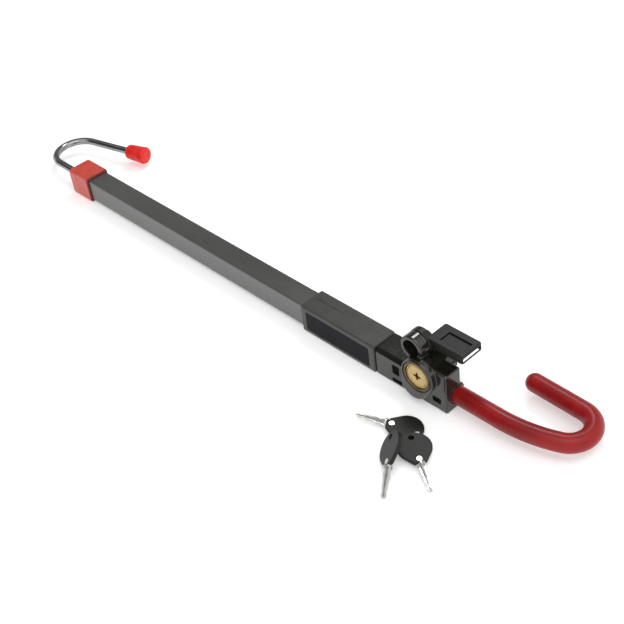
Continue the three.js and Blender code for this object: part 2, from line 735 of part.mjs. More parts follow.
function hookRod() {
  const top = wheelHook.rodRadius;
  const count = STROKE / notch.pitch + 1;
  const notches = Array.from({ length: count }, (_, i) => {
    const x = bolt.x - i * notch.pitch;
    return block([x - notch.width / 2, x + notch.width / 2], [-7, 7], [top - notch.depth, top + 1]);
  });
  const pinX = guideBlock.start + guideBlock.length / 2;
  const pinHole = bar("y", [pinX, 0], guidePin.radius + GAP, -7, 7, 12);
  return cut(bentBar(rodLine, wheelHook.rodRadius, 20), ...notches, pinHole);
}

function hookCoating() {
  const outside = bentBar(coatLine, wheelHook.coatRadius, 24);
  const inside = bentBar(boreLine, wheelHook.rodRadius + GAP, 20);
  const tip = wasm.Manifold.sphere(wheelHook.coatRadius - 0.02, 24).translate(coatLine.getPointAt(1).toArray());
  return cut(join(outside, tip), inside);
}

const guidePin = { radius: 1.5 };

function guideBlockSolid() {
  const width = tube.size - 2 * tube.wall - 2 * GAP;
  const end = guideBlock.start + guideBlock.length;
  const hole = circle(wheelHook.rodRadius + GAP, [0, 0], 20);
  const body = prism("x", roundedRectangle(width, width, 1), guideBlock.start, end, [hole]);
  return cut(body, bar("y", [(guideBlock.start + end) / 2, 0], guidePin.radius + GAP, -9, 9, 12));
}

// ---------------------------------------------------------------- keys

const key = {
  bowRadius: 12.2,
  bowThickness: 2.8,
  shoulderTurn: 60,
  neck: 14.2,
  neckHalf: 4.4,
  ringHole: [-7.8, 2.2],
  stud: { x: 11.1, radius: 2.1, rise: 0.3 },
  tangHalf: 2.6,
  tangStart: 5,
  collar: [14.5, 16, 3.4],
  bladeEnd: 37.8,
  rootReach: 3.1,
  tipReach: 1.9,
  bladeHalf: 0.65,
};

// Where each key lies: the bow's centre in ground coordinates, its heading, how far its blade dips and its roll.
const keyPlaces = [
  { name: "key_1", at: [96, -40.8, 2.69], heading: -160, dip: -3, roll: 0 },
  { name: "key_2", at: [104.8, -65.4, 10.44], heading: -55.5, dip: 13.5, roll: 52 },
  { name: "key_3", at: [113.2, -51.5, 4.9], heading: -31, dip: 4.5, roll: 0 },
];

// The stud is the end of the blade's tang, showing on both faces of the bow.
function keyBow() {
  const { stud, bowRadius, bowThickness, shoulderTurn, neck, neckHalf, ringHole, tangStart, tangHalf } = key;
  const round = arc(0, 0, bowRadius, shoulderTurn, 360 - shoulderTurn, 22);
  const outline = [...round, V2(neck, -neckHalf), V2(neck, neckHalf)];
  const half = bowThickness / 2;
  const body = chamferedPrism("z", outline, -half, half, 0.5);
  const ringBore = bar("z", [ringHole[0], 0], ringHole[1], -5, 5, 16);
  const studBore = bar("z", [stud.x, 0], stud.radius + GAP, -5, 5, 16);
  const tangSlot = block([tangStart - GAP, neck + 1], [-tangHalf - GAP, tangHalf + GAP], [-0.5 - GAP, 0.5 + GAP]);
  return cut(body, ringBore, studBore, tangSlot);
}

// The blade's edge is cut with shallow bitting, the same on all four wings.
function wingOutline() {
  const start = key.collar[1] - 0.2;
  const bitting = [0, 0.5, 0.1, 0.7, 0.2, 0.6, 0];
  const upper = bitting.map((depth, i) => {
    const share = i / (bitting.length - 1);
    const x = THREE.MathUtils.lerp(start, key.bladeEnd - 1.2, share);
    return V2(x, THREE.MathUtils.lerp(key.rootReach, key.tipReach, share) - depth);
  });
  const nose = V2(key.bladeEnd, 0.8);
  const half = [...upper, nose];
  const mirrored = half.map((p) => V2(p.x, -p.y)).reverse();
  return [...half, ...mirrored];
}

function keyBlade() {
  const flat = prism("z", wingOutline(), -key.bladeHalf, key.bladeHalf);
  const upright = prism("y", wingOutline(), -key.bladeHalf, key.bladeHalf);
  const collar = bar("x", [0, 0], key.collar[2], key.collar[0], key.collar[1], 16);
  const tang = block([key.tangStart, key.collar[0] + 0.5], [-key.tangHalf, key.tangHalf], [-0.5, 0.5]);
  const studTop = key.bowThickness / 2 + key.stud.rise;
  const stud = bar("z", [key.stud.x, 0], key.stud.radius, -studTop, studTop, 16);
  return join(flat, upright, collar, tang, stud);
}

function layKeys(ground) {
  for (const { name, at, heading, dip, roll } of keyPlaces) {
    const placed = new THREE.Group();
    placed.position.set(...at);
    placed.rotation.order = "ZYX";
    placed.rotation.set(radians(roll), radians(dip), radians(heading));
    piece(`${name}_bow`, keyBow(), "blackPlastic", placed);
    piece(`${name}_blade`, keyBlade(), "nickel", placed);
    ground.add(placed);
  }
}

// ---------------------------------------------------------------- everything together

piece("main_tube", mainTube(), "blackPaint");
piece("pedal_end_cap", pedalEndCap(), "redPlastic");
piece("pedal_hook", pedalHookRod(), "chrome");
piece("pedal_hook_tip", pedalHookTip(), "redPlastic");
piece("shank_anchor", shankAnchor(), "steel");
piece("shank_pin", bar("z", [anchor.pinX, 0], anchor.pinRadius, -9.8, 9.8, 12), "steel");

piece("grip_sleeve", gripSleeve(), "blackPlastic");
piece("side_panel_near", sidePanel(-1), "labelFilm");
piece("side_panel_far", sidePanel(1), "labelFilm");
piece("sleeve_screw", sleeveScrewSolid(), "steel");
rivetPlaces.forEach((x, i) => {
  piece(`tail_rivet_top_${i + 1}`, bar("z", [x, 0], rivet.radius, rivet.inner, rivet.outer, 16), "steel");
  piece(`tail_rivet_low_${i + 1}`, bar("z", [x, 0], rivet.radius, -rivet.outer, -rivet.inner, 16), "steel");
});

piece("lock_body", lockBody(), "castBlack");
piece("mechanism_cover", mechanismCover(), "castBlack");
coverScrewPlaces.forEach((place, i) => piece(`cover_screw_${i + 1}`, coverScrewAt(place), "steel"));
piece("exit_bush", exitBushSolid(), "blackPlastic");
piece("guard_ring", guardRing(), "castBlack");
piece("cylinder_housing", cylinderHousing(), "brass");
piece("key_plug", keyPlug(), "brass");
piece("plug_drive", plugDrive(), "steel");
piece("catch_plate", catchPlate(), "steel");
piece("locking_bolt", lockingBolt(), "steel");
piece("bolt_spring", boltSpringSolid(), "steel");
piece("press_lever", pressLever(), "blackPlastic");
piece("lever_pin", leverPin(), "steel");
piece("lever_spring", leverSpring(), "steel");

piece("hook_rod", hookRod(), "steel");
piece("hook_coating", hookCoating(), "redVinyl");
piece("guide_block", guideBlockSolid(), "blackPlastic");
const guidePinX = guideBlock.start + guideBlock.length / 2;
piece("guide_block_pin", bar("y", [guidePinX, 0], guidePin.radius, -8, 8, 12), "steel");

const steeringWheelLock = new THREE.Group();
steeringWheelLock.add(assembly);
layKeys(steeringWheelLock);

export default steeringWheelLock;
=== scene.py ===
"""The looks of an extendable steering wheel lock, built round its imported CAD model.

Blender works in metres. The sizes named here are in millimetres, unless a name or a comment says otherwise.
The tube runs along X, its centre line is AXIS_HEIGHT above the floor, and both hooks open towards +Y.
Most CAD pieces get rounded edges, the two castings are softened all over, and the two hooks and the pedal
hook's tip are swept or turned afresh. Every surface gets a material made of noise in the model's coordinates.
"""

import json
import math

import bmesh
import bpy
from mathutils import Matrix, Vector


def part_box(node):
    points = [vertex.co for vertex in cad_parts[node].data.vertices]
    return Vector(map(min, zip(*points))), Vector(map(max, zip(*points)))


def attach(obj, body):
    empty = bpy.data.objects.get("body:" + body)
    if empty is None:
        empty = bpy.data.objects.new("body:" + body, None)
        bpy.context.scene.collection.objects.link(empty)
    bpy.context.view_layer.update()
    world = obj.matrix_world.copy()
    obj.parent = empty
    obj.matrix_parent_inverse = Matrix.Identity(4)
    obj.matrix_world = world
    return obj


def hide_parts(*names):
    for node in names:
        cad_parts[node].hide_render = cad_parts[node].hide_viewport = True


MM = 0.001

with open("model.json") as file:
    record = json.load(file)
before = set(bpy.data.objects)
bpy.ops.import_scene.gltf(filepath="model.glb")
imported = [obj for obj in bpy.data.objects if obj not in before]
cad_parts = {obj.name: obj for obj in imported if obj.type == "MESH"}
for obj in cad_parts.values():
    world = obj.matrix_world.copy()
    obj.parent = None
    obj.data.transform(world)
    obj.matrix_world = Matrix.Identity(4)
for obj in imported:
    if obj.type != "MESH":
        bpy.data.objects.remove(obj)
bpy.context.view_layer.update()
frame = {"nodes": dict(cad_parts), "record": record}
RECORD = frame["record"]
SLOT_OF = {entry["node"]: entry["material_slot"] for entry in RECORD["subparts"]}
BODY_OF = {node: body for body, nodes in RECORD["behaviour"]["bodies"].items() for node in nodes}

AXIS_HEIGHT = 12.5
LOCK_AXIS = (84, 26.5)

# The slots in the head's near face, each as left, right, low and high, and the depths between which their
# insides get painted shade.
FACE_SLOTS = ((55.5, 62, 10, 18.3), (54.9, 64.3, 2.4, 5.6), (93.6, 101.2, 6.9, 11.5))
FACE_SLOT_DEPTHS = (0.45, 2.5)
# Short of this along X, nothing stands out from the head's near face.
PLAIN_FACE_END = 60
THUMB_POCKET = {"left": 90, "right": 110.4, "near": 3.4, "far": 13.2, "floor": 50}

# Each arc of a hook is a radius and a turn in degrees.
PEDAL_HOOK = {"start": -306, "bend_x": -384.8, "arcs": [(21.3, 166)], "return_length": 56.5}
PEDAL_ROD = {"radius": 3.3, "chamfer": 0.6}
PEDAL_TIP = {"mouth": 6.9, "end": 8.1, "length": 22, "rounding": 2.6, "socket": 12, "bore": 3.6}
WHEEL_HOOK = {"start": 107.1, "bend_x": 144.9, "arcs": [(115, 22.4), (17, 155.7)], "return_length": 41.8}
COATING = {"radius": 7, "bore": 5.8, "bore_stop": 1.7}
STATION_STEP = 1.2

CAP_LIP = 2.5
KEYWAY = {"depth": 0.1, "reach": 3.9}
BRASS_RIM = (8.2, 9.8)

# How far each CAD piece's edges are rounded.
EDGE_RADII = {
    "main_tube": 0.5,
    "grip_sleeve": 0.6,
    "side_panel_near": 0.15,
    "side_panel_far": 0.15,
    "sleeve_screw": 0.25,
    "mechanism_cover": 0.35,
    **{f"cover_screw_{i}": 0.2 for i in (1, 2, 3, 4)},
    "exit_bush": 0.3,
    "guard_ring": 0.35,
    "cylinder_housing": 0.15,
    **{f"key_{i}_bow": 0.4 for i in (1, 2, 3)},
    **{f"key_{i}_blade": 0.12 for i in (1, 2, 3)},
}

# The camera's sensor and lens in millimetres, its place in metres and its turn in degrees.
CAMERA = {"sensor": 36, "lens": 67.63, "place": (0.5042, -0.4357, 0.5835), "turn": (50.246, 6.265, 46.118)}

# The studio: places and sizes in metres, powers in watts.
STUDIO_BRIGHTNESS = 1.12
FLOOR = {"half": 6, "tone": 0.86, "roughness": 0.9, "glow": 0.3}
SOFTBOXES = (
    {
        "name": "top_softbox",
        "location": (0.5, -0.2, 1.3),
        "aim": (0, 0, 0),
        "size": (1.2, 0.8),
        "power": 4,
    },
    {
        "name": "barrel_softbox",
        "location": (-0.335, 0.588, 0.99),
        "aim": (0.085, 0, 0.03),
        "size": (0.34, 0.26),
        "power": 3,
    },
)

# Each dim wall of the studio: the way to it, its brightness, and the cosines at which it begins and is full.
DIM_WALLS = (
    {"toward": (-0.6, 0.49, 0.64), "brightness": 0.24, "edge": 0.55, "core": 0.95},
    {"toward": (-0.6, -0.64, 0.49), "brightness": 0.08, "edge": 0.8, "core": 0.96},
)


# ---------------------------------------------------------------- material nodes


class Nodes:
    """A small hand for building one material's node tree."""

    def __init__(self, name):
        self.material = bpy.data.materials.new(name)
        self.material.use_nodes = True
        self.tree = self.material.node_tree
        self.shader = self.tree.nodes["Principled BSDF"]
        self.place = self.add("ShaderNodeTexCoord").outputs["Object"]

    def add(self, kind, **values):
        node = self.tree.nodes.new(kind)
        for name, value in values.items():
            setattr(node, name, value)
        return node

    def link(self, value, socket):
        if hasattr(value, "is_linked"):
            self.tree.links.new(value, socket)
        else:
            socket.default_value = value

    def stretched(self, stretch):
        mapping = self.add("ShaderNodeMapping")
        self.link(self.place, mapping.inputs["Vector"])
        mapping.inputs["Scale"].default_value = stretch
        return mapping.outputs["Vector"]

    def noise(self, size, detail=3, stretch=(1, 1, 1), distortion=0):
        """Noise with features about `size` across, drawn out along each axis whose `stretch` is under 1."""
        node = self.add("ShaderNodeTexNoise")
        self.link(self.stretched(stretch), node.inputs["Vector"])
        node.inputs["Scale"].default_value = 1 / (size * MM)
        node.inputs["Detail"].default_value = detail
        node.inputs["Distortion"].default_value = distortion
        return node.outputs["Fac"]

    def math(self, operation, a, b=0.5):
        node = self.add("ShaderNodeMath", operation=operation)
        self.link(a, node.inputs[0])
        self.link(b, node.inputs[1])
        return node.outputs[0]

    def span(self, value, low, high, from_low=0.3, from_high=0.7):
        """Spreads a noise value over low..high."""
        node = self.add("ShaderNodeMapRange")
        self.link(value, node.inputs["Value"])
        node.inputs["From Min"].default_value = from_low
        node.inputs["From Max"].default_value = from_high
        node.inputs["To Min"].default_value = low
        node.inputs["To Max"].default_value = high
        return node.outputs["Result"]

    def mix(self, share, first, second):
        node = self.add("ShaderNodeMix", data_type="RGBA")
        self.link(share, node.inputs[0])
        self.link(rgba(first), node.inputs[6])
        self.link(rgba(second), node.inputs[7])
        return node.outputs[2]

    def edge_wear(self, width=0.5):
        """One along edges, within `width` of them, and nought on flat ground."""
        softened = self.add("ShaderNodeBevel", samples=4)
        softened.inputs["Radius"].default_value = width * MM
        agreement = self.add("ShaderNodeVectorMath", operation="DOT_PRODUCT")
        self.link(softened.outputs["Normal"], agreement.inputs[0])
        self.link(self.add("ShaderNodeNewGeometry").outputs["Normal"], agreement.inputs[1])
        return self.span(agreement.outputs["Value"], 1, 0, 0.85, 0.99)

    def relief(self, *layers):
        """Stacks bump layers, each a height value and its depth in millimetres."""
        normal = None
        for height, depth in layers:
            bump = self.add("ShaderNodeBump")
            bump.inputs["Distance"].default_value = depth * MM
            self.link(height, bump.inputs["Height"])
            if normal:
                self.link(normal, bump.inputs["Normal"])
            normal = bump.outputs["Normal"]
        self.link(normal, self.shader.inputs["Normal"])

    def finish(self, color, roughness, **constants):
        self.link(rgba(color), self.shader.inputs["Base Color"])
        self.link(roughness, self.shader.inputs["Roughness"])
        for name, value in constants.items():
            self.shader.inputs[name.replace("_", " ")].default_value = value
        return self.material


def rgba(color):
    return (*color, 1) if isinstance(color, tuple) and len(color) == 3 else color


def shade(color, factor):
    return tuple(channel * factor for channel in color)


# ---------------------------------------------------------------- materials


def tube_paint():
    """Semi-gloss paint on drawn tube: faint draw lines along it, fine orange peel and rubbed edges."""
    n = Nodes("tube_paint")
    lines = n.noise(0.9, 2, (0.02, 1, 1))
    peel = n.noise(1.6, 2)
    cloud = n.noise(38, 4, (0.35, 1, 1))
    paint = n.mix(n.span(cloud, 0, 1), (0.034, 0.034, 0.032), (0.05, 0.05, 0.047))
    color = n.mix(n.math("MULTIPLY", n.edge_wear(), 0.35), paint, (0.12, 0.12, 0.115))
    n.relief((peel, 0.012), (lines, 0.008))
    return n.finish(color, n.span(n.math("ADD", cloud, lines), 0.24, 0.38, 0.7, 1.3), IOR=2.0)


def cast_black():
    """Glossy black coat over a die casting, with the casting's soft skin showing through."""
    n = Nodes("cast_black")
    skin = n.noise(2.4, 3)
    pits = n.noise(0.5, 2)
    cloud = n.noise(16, 3)
    coat = n.mix(n.span(cloud, 0, 1), (0.007, 0.007, 0.005), (0.016, 0.016, 0.011))
    color = n.mix(n.math("MULTIPLY", n.edge_wear(), 0.3), coat, (0.11, 0.11, 0.1))
    n.relief((skin, 0.03), (pits, 0.006))
    return n.finish(color, n.span(skin, 0.07, 0.18), IOR=1.64)


def black_plastic(name="black_plastic", tone=0.034, ior=1.55):
    """Moulded black plastic with a fine spark-eroded grain, polished a little on its edges."""
    n = Nodes(name)
    grain = n.noise(0.45, 3)
    cloud = n.noise(14, 3)
    body = n.mix(n.span(cloud, 0, 1), shade((0.76, 0.82, 0.7), tone), shade((1.24, 1.3, 1.12), tone))
    color = n.mix(n.math("MULTIPLY", n.edge_wear(), 0.25), body, (0.1, 0.1, 0.092))
    n.relief((grain, 0.02))
    return n.finish(color, n.span(grain, 0.34, 0.5), IOR=ior)


def key_plastic():
    """The keys' plastic is blacker than the sleeve's and less shiny."""
    return black_plastic("key_plastic", 0.009, 1.36)


def paddle_plastic():
    """The paddle is dark grey-green and matt."""
    return black_plastic("paddle_plastic", 0.008, 1.38)


def painted_shade_recess():
    """Painted shade: near-black colour painted on the insides of slots and pockets where shade falls,
    mottled, dull and grainy.
    """
    n = Nodes("painted_shade_recess")
    shade_mottle = n.noise(1.2, 4)
    color = n.mix(n.span(shade_mottle, 0, 1), (0.003, 0.003, 0.003), (0.01, 0.01, 0.009))
    n.relief((shade_mottle, 0.02))
    return n.finish(color, n.span(shade_mottle, 0.7, 0.9), Specular_IOR_Level=0.1)


def panel_film():
    """A blank film panel: smooth and nearly black, with faint smears of handling."""
    n = Nodes("panel_film")
    smear = n.noise(9, 4, (0.3, 1, 1), 0.6)
    color = n.mix(n.span(smear, 0, 1), (0.005, 0.005, 0.007), (0.011, 0.011, 0.014))
    n.relief((n.noise(3, 2), 0.004))
    return n.finish(color, n.span(smear, 0.2, 0.36), IOR=1.3, Specular_IOR_Level=0.12)


def red_plastic(name="red_plastic", dark=(0.48, 0.042, 0.026), light=(0.58, 0.065, 0.04), ior=1.58):
    """Moulded red plastic, warm and slightly translucent, with a soft sheen that varies."""
    n = Nodes(name)
    cloud = n.noise(7, 3)
    grain = n.noise(0.7, 3)
    body = n.mix(n.span(cloud, 0, 1), dark, light)
    color = n.mix(n.math("MULTIPLY", n.edge_wear(), 0.3), body, (0.95, 0.24, 0.17))
    n.relief((cloud, 0.05), (grain, 0.012))
    constants = {"Subsurface_Weight": 0.12, "Subsurface_Scale": 0.0015, "IOR": ior}
    n.shader.inputs["Subsurface Radius"].default_value = (1, 0.25, 0.18)
    return n.finish(color, n.span(grain, 0.28, 0.44), **constants)


def tip_plastic():
    """The hook's tip is the same plastic in a purer red."""
    return red_plastic("tip_plastic", (0.62, 0.01, 0.006), (0.74, 0.018, 0.01), 1.4)


def painted_shade_lip():
    """Painted shade: the same plastic, dull and painted dark red where the cap's mouth grips the tube,
    standing in for the shade there.
    """
    n = Nodes("painted_shade_lip")
    lip_mottle = n.noise(2, 4)
    color = n.mix(n.span(lip_mottle, 0, 1), (0.1, 0.005, 0.004), (0.22, 0.01, 0.008))
    n.relief((lip_mottle, 0.03))
    return n.finish(color, n.span(lip_mottle, 0.5, 0.75))


def red_vinyl():
    """Dipped vinyl: deep red, with slow waves in the skin, a fine peel and a soft shine."""
    n = Nodes("red_vinyl")
    waves = n.noise(11, 2)
    peel = n.noise(1.3, 2)
    cloud = n.noise(22, 3)
    color = n.mix(n.span(cloud, 0, 1), (0.19, 0.0015, 0.002), (0.3, 0.004, 0.006))
    n.relief((waves, 0.22), (peel, 0.003))
    return n.finish(color, n.span(waves, 0.3, 0.4), IOR=1.4)


def chrome():
    """Bright plating over bent bar, with very faint waves and polishing haze."""
    n = Nodes("chrome")
    haze = n.noise(6, 4, (0.4, 1, 1))
    color = n.mix(n.span(haze, 0, 1), (0.22, 0.225, 0.23), (0.36, 0.365, 0.37))
    n.relief((n.noise(9, 1), 0.05), (n.noise(0.5, 2), 0.0015))
    return n.finish(color, n.span(haze, 0.03, 0.11), Metallic=1)


def steel():
    """Plain turned or drawn steel with short machining marks and a little oil darkening."""
    n = Nodes("steel")
    marks = n.noise(0.35, 2, (0.15, 1, 1))
    oil = n.noise(5, 4)
    color = n.mix(n.span(oil, 0, 1), (0.26, 0.26, 0.26), (0.46, 0.46, 0.47))
    n.relief((marks, 0.008))
    return n.finish(color, n.span(marks, 0.26, 0.46), Metallic=1)


def lock_axis_distance(n):
    """How far a point is from the lock cylinder's axis, in millimetres."""
    apart = n.add("ShaderNodeVectorMath", operation="SUBTRACT")
    n.link(n.place, apart.inputs[0])
    apart.inputs[1].default_value = (LOCK_AXIS[0] * MM, 0, LOCK_AXIS[1] * MM)
    flat = n.add("ShaderNodeVectorMath", operation="MULTIPLY")
    n.link(apart.outputs[0], flat.inputs[0])
    flat.inputs[1].default_value = (1 / MM, 0, 1 / MM)
    length = n.add("ShaderNodeVectorMath", operation="LENGTH")
    n.link(flat.outputs[0], length.inputs[0])
    return length.outputs["Value"]


def brass():
    """Faced brass: fine turning rings about the lock's axis, a warmer rim and touches of tarnish."""
    n = Nodes("brass")
    reach = lock_axis_distance(n)
    rings = n.math("SINE", n.math("MULTIPLY", reach, 22))
    tarnish = n.noise(3.2, 4)
    face = n.mix(n.span(tarnish, 0, 1), (0.5, 0.36, 0.13), (0.62, 0.47, 0.2))
    rim = n.span(reach, 0, 1, *BRASS_RIM)
    color = n.mix(n.math("MULTIPLY", rim, 0.45), face, (0.5, 0.27, 0.08))
    n.relief((rings, 0.004), (tarnish, 0.02))
    return n.finish(color, n.span(tarnish, 0.3, 0.46), Metallic=0.45)


def guard_bronze():
    """Dark, oily bronze round the lock's face, brighter where a key ring has rubbed it."""
    n = Nodes("guard_bronze")
    oil = n.noise(2.6, 4)
    body = n.mix(n.span(oil, 0, 1), (0.09, 0.06, 0.02), (0.17, 0.12, 0.045))
    color = n.mix(n.math("MULTIPLY", n.edge_wear(0.3), 0.5), body, (0.3, 0.24, 0.12))
    n.relief((oil, 0.02))
    return n.finish(color, n.span(oil, 0.2, 0.36), Metallic=0.7)


def keyway_tarnish():
    """The brown, greasy walls of the keyhole."""
    n = Nodes("keyway_tarnish")
    grease = n.noise(0.8, 3)
    color = n.mix(n.span(grease, 0, 1), (0.22, 0.045, 0.012), (0.36, 0.1, 0.03))
    n.relief((grease, 0.02))
    return n.finish(color, n.span(grease, 0.4, 0.6), Metallic=0.4)


def nickel():
    """Nickel plate with fine brushing and a trace of the brass under it."""
    n = Nodes("nickel")
    brushing = n.noise(0.3, 2, (0.3, 1, 1))
    cloud = n.noise(4, 3)
    color = n.mix(n.span(cloud, 0, 1), (0.42, 0.42, 0.4), (0.6, 0.6, 0.57))
    n.relief((brushing, 0.006))
    return n.finish(color, n.span(brushing, 0.16, 0.32), Metallic=1)


MAKERS = (
    tube_paint,
    cast_black,
    black_plastic,
    panel_film,
    red_plastic,
    red_vinyl,
    chrome,
    steel,
    brass,
    nickel,
    painted_shade_recess,
)
FINISHES = {maker.__name__: maker() for maker in MAKERS}
KEY_PLASTIC = key_plastic()
OWN_FINISH = {
    "press_lever": paddle_plastic(),
    "pedal_hook_tip": tip_plastic(),
    "guard_ring": guard_bronze(),
    **{f"key_{i}_bow": KEY_PLASTIC for i in (1, 2, 3)},
}


# ---------------------------------------------------------------- mesh helpers


def piece(name, mesh, node):
    """Shows a mesh in place of a CAD node: same body, same slot, same finish."""
    shown = bpy.data.objects.new(name, mesh)
    bpy.context.collection.objects.link(shown)
    mesh.materials.clear()
    mesh.materials.append(OWN_FINISH.get(node, FINISHES[SLOT_OF[node]]))
    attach(shown, BODY_OF[node])
    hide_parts(node)
    return shown


def welded_copy(node):
    """The CAD node's mesh with its corners joined and its flat ground cleared of triangle edges."""
    mesh = bpy.data.meshes.new(node + "_look")
    shape = bmesh.new()
    shape.from_mesh(frame["nodes"][node].data)
    bmesh.ops.remove_doubles(shape, verts=shape.verts, dist=0.002 * MM)
    bmesh.ops.dissolve_limit(shape, angle_limit=math.radians(0.6), verts=shape.verts, edges=shape.edges)
    shape.to_mesh(mesh)
    shape.free()
    return mesh


def with_modifiers(mesh, *modifiers):
    """The mesh after a list of (kind, settings) modifiers."""
    carrier = bpy.data.objects.new("carrier", mesh)
    bpy.context.collection.objects.link(carrier)
    for kind, settings in modifiers:
        modifier = carrier.modifiers.new(kind, kind)
        for name, value in settings.items():
            setattr(modifier, name, value)
    graph = bpy.context.evaluated_depsgraph_get()
    result = bpy.data.meshes.new_from_object(carrier.evaluated_get(graph), depsgraph=graph)
    bpy.data.objects.remove(carrier)
    return result


def smoothed(mesh, sharp_angle=40):
    mesh.shade_smooth()
    mesh.set_sharp_from_angle(angle=math.radians(sharp_angle))
    return mesh


def rounded(node, radius, segments=3):
    """A CAD shape with its sharp edges rounded by a radius."""
    bevel = {
        "width": radius * MM,
        "segments": segments,
        "limit_method": "ANGLE",
        "angle_limit": math.radians(35),
        "miter_outer": "MITER_ARC",
    }
    mesh = with_modifiers(welded_copy(node), ("BEVEL", bevel))
    shown = piece(node + "_look", smoothed(mesh), node)
    weights = shown.modifiers.new("even_normals", "WEIGHTED_NORMAL")
    weights.keep_sharp = True
    return shown


def cast(node, voxel, smoothing, keep=0.4):
    """A CAD shape as a casting or moulding leaves it: every edge, inside and outside, softened."""
    mesh = with_modifiers(
        welded_copy(node),
        ("REMESH", {"mode": "VOXEL", "voxel_size": voxel * MM, "adaptivity": 0}),
        ("SMOOTH", {"factor": 0.5, "iterations": smoothing}),
        ("DECIMATE", {"ratio": keep}),
    )
    return piece(node + "_look", smoothed(mesh, 60), node)


def ring(centre, direction, radius, sides):
    """A circle of points about a line that lies in the hook's plane."""
    across = direction.cross(Vector((0, 0, 1)))
    up = Vector((0, 0, 1))
    turns = [2 * math.pi * i / sides for i in range(sides)]
    return [centre + radius * (math.cos(a) * across + math.sin(a) * up) for a in turns]


def skin(name, rings):
    """Joins a list of rings into one smooth skin, closed at both ends."""
    shape = bmesh.new()
    rows = [[shape.verts.new(point * MM) for point in points] for points in rings]
    sides = len(rows[0])
    for row, after in zip(rows, rows[1:]):
        for i in range(sides):
            j = (i + 1) % sides
            shape.faces.new((row[i], row[j], after[j], after[i]))
    shape.faces.new(reversed(rows[0]))
    shape.faces.new(rows[-1])
    bmesh.ops.recalc_face_normals(shape, faces=shape.faces)
    mesh = bpy.data.meshes.new(name)
    shape.to_mesh(mesh)
    shape.free()
    return smoothed(mesh)


def hook_line(start, bend_x, arcs, return_length):
    """A hook's centre line as (place, direction) stations: a leg along X, arcs towards +Y, a return leg."""
    way = math.copysign(1, bend_x - start)

    def direction(angle):
        return Vector((way * math.cos(angle), math.sin(angle), 0))

    def inward(angle):
        return Vector((-way * math.sin(angle), math.cos(angle), 0))

    angle = 0
    stations = [(Vector((x, 0, AXIS_HEIGHT)), direction(angle)) for x in (start, bend_x)]
    for radius, degrees in arcs:
        turn = math.radians(degrees)
        centre = stations[-1][0] + radius * inward(angle)
        count = math.ceil(radius * turn / STATION_STEP)
        for i in range(1, count + 1):
            now = angle + turn * i / count
            stations.append((centre - radius * inward(now), direction(now)))
        angle += turn
    end = stations[-1][0] + return_length * direction(angle)
    return [*stations, (end, direction(angle))]


def rounded_corner(along, radius, rounding, start, end, steps=8):
    """Points (along, radius) of a quarter turn at the rim of a turned piece."""
    angles = [math.radians(start + (end - start) * i / steps) for i in range(steps + 1)]
    return [(along + rounding * math.sin(a), radius - rounding + rounding * math.cos(a)) for a in angles]


# ---------------------------------------------------------------- the pieces


def pedal_hook():
    """The bent bar, chamfered at the end that sits in the tube."""
    sides = 40
    radius, chamfer = PEDAL_ROD["radius"], PEDAL_ROD["chamfer"]
    stations = hook_line(**PEDAL_HOOK)
    start, heading = stations[0]
    rings = [
        ring(start, heading, radius - chamfer, sides),
        ring(start + chamfer * heading, heading, radius, sides),
        *[ring(place, direction, radius, sides) for place, direction in stations[1:]],
    ]
    piece("pedal_hook_look", skin("pedal_hook_look", rings), "pedal_hook")


def pedal_hook_tip():
    """A moulded tip that widens to its end, with a shallow ring where the mould closed."""
    tip = PEDAL_TIP
    end, direction = hook_line(**PEDAL_HOOK)[-1]
    mouth = end + (0.3 - tip["socket"]) * direction
    outer = [
        *rounded_corner(tip["rounding"], tip["mouth"], tip["rounding"], -90, 0),
        *[(tip["length"] * s, tip["mouth"] + (tip["end"] - tip["mouth"]) * s) for s in (0.3, 0.5, 0.56)],
        *[(tip["length"] * 0.58, tip["end"] - 0.72), (tip["length"] * 0.6, tip["end"] - 0.5)],
        *rounded_corner(tip["length"] - tip["rounding"], tip["end"], tip["rounding"], 0, 90),
        (tip["length"] - 0.02, 2.6),
        (tip["length"] - 0.5, 2.1),
    ]
    bore = [(tip["socket"], tip["bore"]), (0.5, tip["bore"]), (0, tip["bore"] + 0.5)]
    rings = [ring(mouth + along * direction, direction, radius, 64) for along, radius in [*bore, *outer]]
    piece("pedal_hook_tip_look", skin("pedal_hook_tip_look", rings), "pedal_hook_tip")


def hook_coating():
    """The dipped coat: a rounded lip at the head, the long bend and a domed end, hollow for the rod."""
    sides = 56
    lip_steps = 8
    dome_steps = 10
    radius, bore = COATING["radius"], COATING["bore"]
    line = hook_line(**WHEEL_HOOK)
    bore_length = WHEEL_HOOK["return_length"] - COATING["bore_stop"]
    inner = hook_line(**{**WHEEL_HOOK, "return_length": bore_length})
    start, heading = line[0]
    end, direction = line[-1]

    def lip_ring(angle):
        """A ring of the half-round lip, from the bore at 0 to the outside at half a turn."""
        lip = (radius - bore) / 2
        place = start + lip * (1 - math.sin(angle)) * heading
        return ring(place, heading, bore + lip * (1 - math.cos(angle)), sides)

    def dome_ring(angle):
        """A ring of the domed end, from the outside at 0 to the crown at a quarter turn."""
        place = end + radius * math.sin(angle) * direction
        return ring(place, direction, radius * math.cos(angle), sides)

    rings = [
        *[ring(place, way, bore, sides) for place, way in reversed(inner[1:])],
        *[lip_ring(math.radians(180 * i / lip_steps)) for i in range(lip_steps + 1)],
        *[ring(place, way, radius, sides) for place, way in line[1:]],
        *[dome_ring(math.radians(90 * i / dome_steps)) for i in range(1, dome_steps)],
    ]
    piece("hook_coating_look", skin("hook_coating_look", rings), "hook_coating")


def recolored(shown, material, test):
    """Gives a second material to the faces that pass a test on their centre and normal."""
    shown.data.materials.append(material)
    for face in shown.data.polygons:
        if test(face.center / MM, face.normal):
            face.material_index = 1


def within(value, low, high, margin):
    return low - margin < value < high + margin


